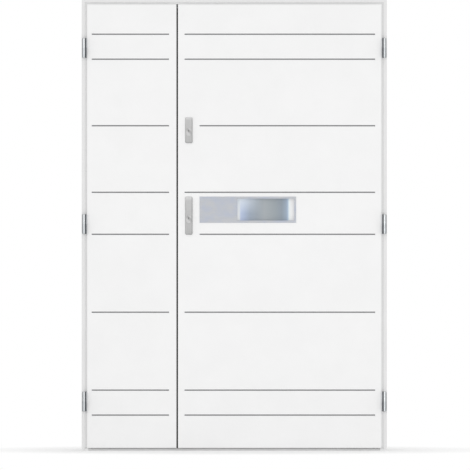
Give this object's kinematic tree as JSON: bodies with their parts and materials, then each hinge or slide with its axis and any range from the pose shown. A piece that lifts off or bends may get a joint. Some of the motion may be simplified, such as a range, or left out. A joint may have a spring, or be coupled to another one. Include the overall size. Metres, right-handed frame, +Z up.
{
  "type": "double entry door",
  "caption": "Outward-opening entry door with unequal grooved leaves, a glazed metal insert, mortise locks, flush bolts and lift-off hinges in a rebated frame.",
  "frame": {"origin": "middle of the threshold's underside, halfway through the frame's depth", "axes": "+X to the right seen from outside, +Y into the building, +Z up"},
  "size_m": [1.406, 0.1365, 2.08],
  "materials": {
    "painted_frame": "satin",
    "painted_leaf": "satin",
    "leaf_timber": "satin",
    "insulation": "matte",
    "hardwood": "satin",
    "anodised_aluminium": "satin",
    "cover_rubber": "matte",
    "seal_rubber": "matte",
    "hinge_steel": "satin",
    "plate_satin": "satin",
    "cylinder_nickel": "satin",
    "lock_steel": "satin",
    "insert_stainless": "satin",
    "window_glass": "gloss"
  },
  "bodies": {
    "frame": {"jamb_left": "painted_frame", "jamb_right": "painted_frame", "head": "painted_frame", "threshold_sill": "hardwood", "threshold_rail": "anodised_aluminium", "flush_bolt_keeps": "lock_steel", "jamb_seal_left": "seal_rubber", "jamb_seal_right": "seal_rubber", "head_seal": "seal_rubber", "threshold_seal": "seal_rubber", "cover_seal_left": "cover_rubber", "cover_seal_right": "cover_rubber", "head_cover_seal": "cover_rubber", "hinge_frame_halves_left": "hinge_steel", "hinge_frame_halves_right": "hinge_steel"},
    "active_leaf": {"active_outer_skin": "painted_leaf", "active_inner_skin": "painted_leaf", "active_hinge_stile": "leaf_timber", "active_lock_stile": "leaf_timber", "active_top_rail": "leaf_timber", "active_bottom_rail": "leaf_timber", "glazing_liner": "leaf_timber", "active_core": "insulation", "glass_spacer": "anodised_aluminium", "hinge_leaf_halves_right": "hinge_steel", "main_outer_plate": "plate_satin", "upper_outer_plate": "plate_satin", "main_inner_plate": "plate_satin", "upper_inner_plate": "plate_satin", "lock_cylinders": "cylinder_nickel", "main_lock_case": "lock_steel", "upper_lock_case": "lock_steel", "main_forend": "lock_steel", "upper_forend": "lock_steel", "insert_plate": "insert_stainless", "inner_bezel": "insert_stainless", "glass_panes": "window_glass"},
    "inactive_leaf": {"inactive_outer_skin": "painted_leaf", "inactive_inner_skin": "painted_leaf", "inactive_hinge_stile": "leaf_timber", "inactive_lock_stile": "leaf_timber", "inactive_top_rail": "leaf_timber", "inactive_bottom_rail": "leaf_timber", "inactive_core": "insulation", "hinge_leaf_halves_left": "hinge_steel", "meeting_seal": "seal_rubber", "main_strike": "lock_steel", "upper_strike": "lock_steel", "flush_bolt_plates": "lock_steel"},
    "main_dead_bolt": {"main_dead_bolt": "lock_steel"},
    "upper_dead_bolt": {"upper_dead_bolt": "lock_steel"},
    "main_latch_bolt": {"main_latch_bolt": "lock_steel"},
    "main_thumb_turn": {"main_thumb_turn": "plate_satin"},
    "upper_thumb_turn": {"upper_thumb_turn": "plate_satin"},
    "main_plug": {"main_plug": "cylinder_nickel"},
    "upper_plug": {"upper_plug": "cylinder_nickel"},
    "lever_handle": {"lever_handle": "plate_satin"},
    "flush_bolt_top": {"flush_bolt_top": "lock_steel"},
    "flush_bolt_bottom": {"flush_bolt_bottom": "lock_steel"}
  },
  "joints": [
    {"name": "active_leaf_swing", "type": "hinge", "parent": "frame", "child": "active_leaf", "pos_m": [0.691, -0.068, 0], "axis": [0, 0, 1], "range_deg": [0, 180]},
    {"name": "inactive_leaf_swing", "type": "hinge", "parent": "frame", "child": "inactive_leaf", "pos_m": [-0.691, -0.068, 0], "axis": [0, 0, -1], "range_deg": [0, 180]},
    {"name": "lever_turn", "type": "hinge", "parent": "active_leaf", "child": "lever_handle", "pos_m": [-0.2102, 0.03, 1.137], "axis": [0, 1, 0], "range_deg": [0, 45], "stiffness_Nm_per_rad": 2, "springref_deg": -17.19},
    {"name": "latch_slide", "type": "slide", "parent": "active_leaf", "child": "main_latch_bolt", "axis": [-1, 0, 0], "range_m": [0, 0.014]},
    {"name": "main_thumb_turn_turn", "type": "hinge", "parent": "active_leaf", "child": "main_thumb_turn", "pos_m": [-0.2102, 0.03, 1.065], "axis": [0, 1, 0], "range_deg": [0, 90]},
    {"name": "main_dead_bolt_slide", "type": "slide", "parent": "active_leaf", "child": "main_dead_bolt", "axis": [-1, 0, 0], "range_m": [0, 0.02]},
    {"name": "main_plug_turn", "type": "hinge", "parent": "active_leaf", "child": "main_plug", "pos_m": [-0.2102, -0.06, 1.07], "axis": [0, 1, 0], "range_deg": [0, 90]},
    {"name": "upper_thumb_turn_turn", "type": "hinge", "parent": "active_leaf", "child": "upper_thumb_turn", "pos_m": [-0.2102, 0.03, 1.467], "axis": [0, 1, 0], "range_deg": [0, 90]},
    {"name": "upper_dead_bolt_slide", "type": "slide", "parent": "active_leaf", "child": "upper_dead_bolt", "axis": [-1, 0, 0], "range_m": [0, 0.02]},
    {"name": "upper_plug_turn", "type": "hinge", "parent": "active_leaf", "child": "upper_plug", "pos_m": [-0.2102, -0.06, 1.472], "axis": [0, 1, 0], "range_deg": [0, 90]},
    {"name": "top_flush_bolt_slide", "type": "slide", "parent": "inactive_leaf", "child": "flush_bolt_top", "axis": [0, 0, 1], "range_m": [0, 0.02]},
    {"name": "bottom_flush_bolt_slide", "type": "slide", "parent": "inactive_leaf", "child": "flush_bolt_bottom", "axis": [0, 0, -1], "range_m": [0, 0.011]}
  ],
  "couplings": [
    {"joint": "main_dead_bolt_slide", "follows": "main_thumb_turn_turn", "m_per_rad": 0.012732},
    {"joint": "upper_dead_bolt_slide", "follows": "upper_thumb_turn_turn", "m_per_rad": 0.012732}
  ]
}
